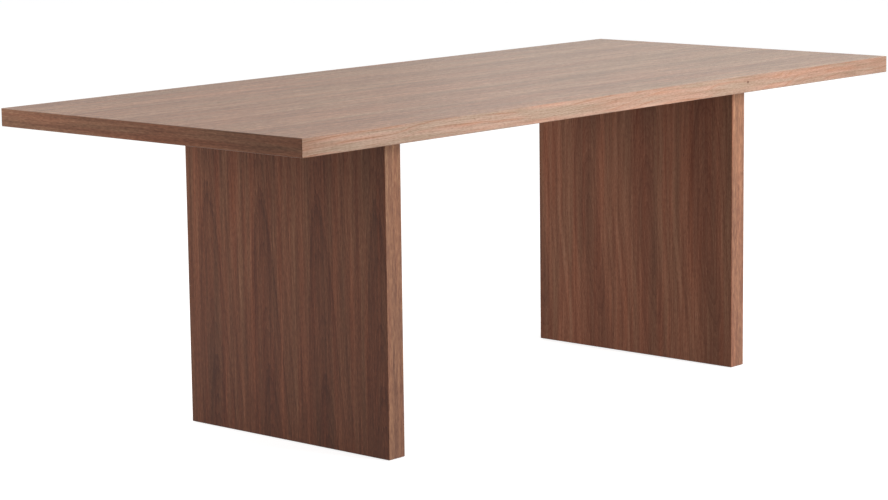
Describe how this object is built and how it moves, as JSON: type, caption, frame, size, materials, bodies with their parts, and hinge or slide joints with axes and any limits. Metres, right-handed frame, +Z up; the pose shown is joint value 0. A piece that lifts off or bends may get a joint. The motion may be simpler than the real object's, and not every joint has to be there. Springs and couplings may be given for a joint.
{
  "type": "panel leg dining table",
  "caption": "Long rectangular dining table: a thick walnut veneered top on two broad upright panel legs set in from its ends, with levelling feet hidden in the legs' lower edges.",
  "frame": {"origin": "on the floor, under the middle of the top", "axes": "+X along the table to its right end, +Y across it to the back, +Z up"},
  "size_m": [2.1, 0.92, 0.75],
  "materials": {
    "walnut_top_veneer": "satin lacquered straight-grained walnut veneer",
    "walnut_backing_veneer": "sealed walnut balancing veneer",
    "walnut_top_lipping": "satin lacquered figured walnut",
    "walnut_leg_veneer": "satin lacquered walnut veneer with upright grain",
    "walnut_leg_lipping": "satin lacquered walnut",
    "fibreboard_core": "plain fibreboard, hidden",
    "black_powder_coat": "fine textured matt black powder coat",
    "black_zinc_steel": "black zinc plated",
    "zinc_plated_steel": "bright zinc plated",
    "black_nylon": "moulded, matt"
  },
  "bodies": {
    "table": {"top_board": "fibreboard_core", "top_face_veneer": "walnut_top_veneer", "top_backing_veneer": "walnut_backing_veneer", "top_front_lipping": "walnut_top_lipping", "top_right_lipping": "walnut_top_lipping", "top_back_lipping": "walnut_top_lipping", "top_left_lipping": "walnut_top_lipping", "left_leg_outer_board": "fibreboard_core", "left_leg_inner_board": "fibreboard_core", "left_leg_outer_veneer": "walnut_leg_veneer", "left_leg_inner_veneer": "walnut_leg_veneer", "left_leg_front_lipping": "walnut_leg_lipping", "left_leg_back_lipping": "walnut_leg_lipping", "left_leg_bottom_lipping": "walnut_leg_lipping", "left_bracket_plate": "black_powder_coat", "left_bracket_blade": "black_powder_coat", "left_bracket_welds": "black_powder_coat", "left_plate_bolts": "black_zinc_steel", "left_top_sleeves": "zinc_plated_steel", "left_plate_screws": "zinc_plated_steel", "left_foot_sleeves": "zinc_plated_steel", "right_leg_outer_board": "fibreboard_core", "right_leg_inner_board": "fibreboard_core", "right_leg_outer_veneer": "walnut_leg_veneer", "right_leg_inner_veneer": "walnut_leg_veneer", "right_leg_front_lipping": "walnut_leg_lipping", "right_leg_back_lipping": "walnut_leg_lipping", "right_leg_bottom_lipping": "walnut_leg_lipping", "right_bracket_plate": "black_powder_coat", "right_bracket_blade": "black_powder_coat", "right_bracket_welds": "black_powder_coat", "right_plate_bolts": "black_zinc_steel", "right_top_sleeves": "zinc_plated_steel", "right_plate_screws": "zinc_plated_steel", "right_foot_sleeves": "zinc_plated_steel"},
    "left_front_foot": {"left_front_foot_pad": "black_nylon"},
    "left_front_foot_screw": {"left_front_foot_stem": "zinc_plated_steel"},
    "left_back_foot": {"left_back_foot_pad": "black_nylon"},
    "left_back_foot_screw": {"left_back_foot_stem": "zinc_plated_steel"},
    "right_front_foot": {"right_front_foot_pad": "black_nylon"},
    "right_front_foot_screw": {"right_front_foot_stem": "zinc_plated_steel"},
    "right_back_foot": {"right_back_foot_pad": "black_nylon"},
    "right_back_foot_screw": {"right_back_foot_stem": "zinc_plated_steel"}
  },
  "joints": [
    {"name": "left_front_foot_travel", "type": "slide", "parent": "table", "child": "left_front_foot", "axis": [0, 0, -1], "range_m": [0, 0.012]},
    {"name": "left_front_foot_turn", "type": "hinge", "parent": "left_front_foot", "child": "left_front_foot_screw", "pos_m": [-0.625, -0.2525, 0.02], "axis": [0, 0, -1], "range_deg": [0, 3456.5]},
    {"name": "left_back_foot_travel", "type": "slide", "parent": "table", "child": "left_back_foot", "axis": [0, 0, -1], "range_m": [0, 0.012]},
    {"name": "left_back_foot_turn", "type": "hinge", "parent": "left_back_foot", "child": "left_back_foot_screw", "pos_m": [-0.625, 0.2525, 0.02], "axis": [0, 0, -1], "range_deg": [0, 3456.5]},
    {"name": "right_front_foot_travel", "type": "slide", "parent": "table", "child": "right_front_foot", "axis": [0, 0, -1], "range_m": [0, 0.012]},
    {"name": "right_front_foot_turn", "type": "hinge", "parent": "right_front_foot", "child": "right_front_foot_screw", "pos_m": [0.625, -0.2525, 0.02], "axis": [0, 0, -1], "range_deg": [0, 3456.5]},
    {"name": "right_back_foot_travel", "type": "slide", "parent": "table", "child": "right_back_foot", "axis": [0, 0, -1], "range_m": [0, 0.012]},
    {"name": "right_back_foot_turn", "type": "hinge", "parent": "right_back_foot", "child": "right_back_foot_screw", "pos_m": [0.625, 0.2525, 0.02], "axis": [0, 0, -1], "range_deg": [0, 3456.5]}
  ],
  "couplings": [
    {"joint": "left_front_foot_turn", "follows": "left_front_foot_travel", "rad_per_m": 5026.5},
    {"joint": "left_back_foot_turn", "follows": "left_back_foot_travel", "rad_per_m": 5026.5},
    {"joint": "right_front_foot_turn", "follows": "right_front_foot_travel", "rad_per_m": 5026.5},
    {"joint": "right_back_foot_turn", "follows": "right_back_foot_travel", "rad_per_m": 5026.5}
  ]
}
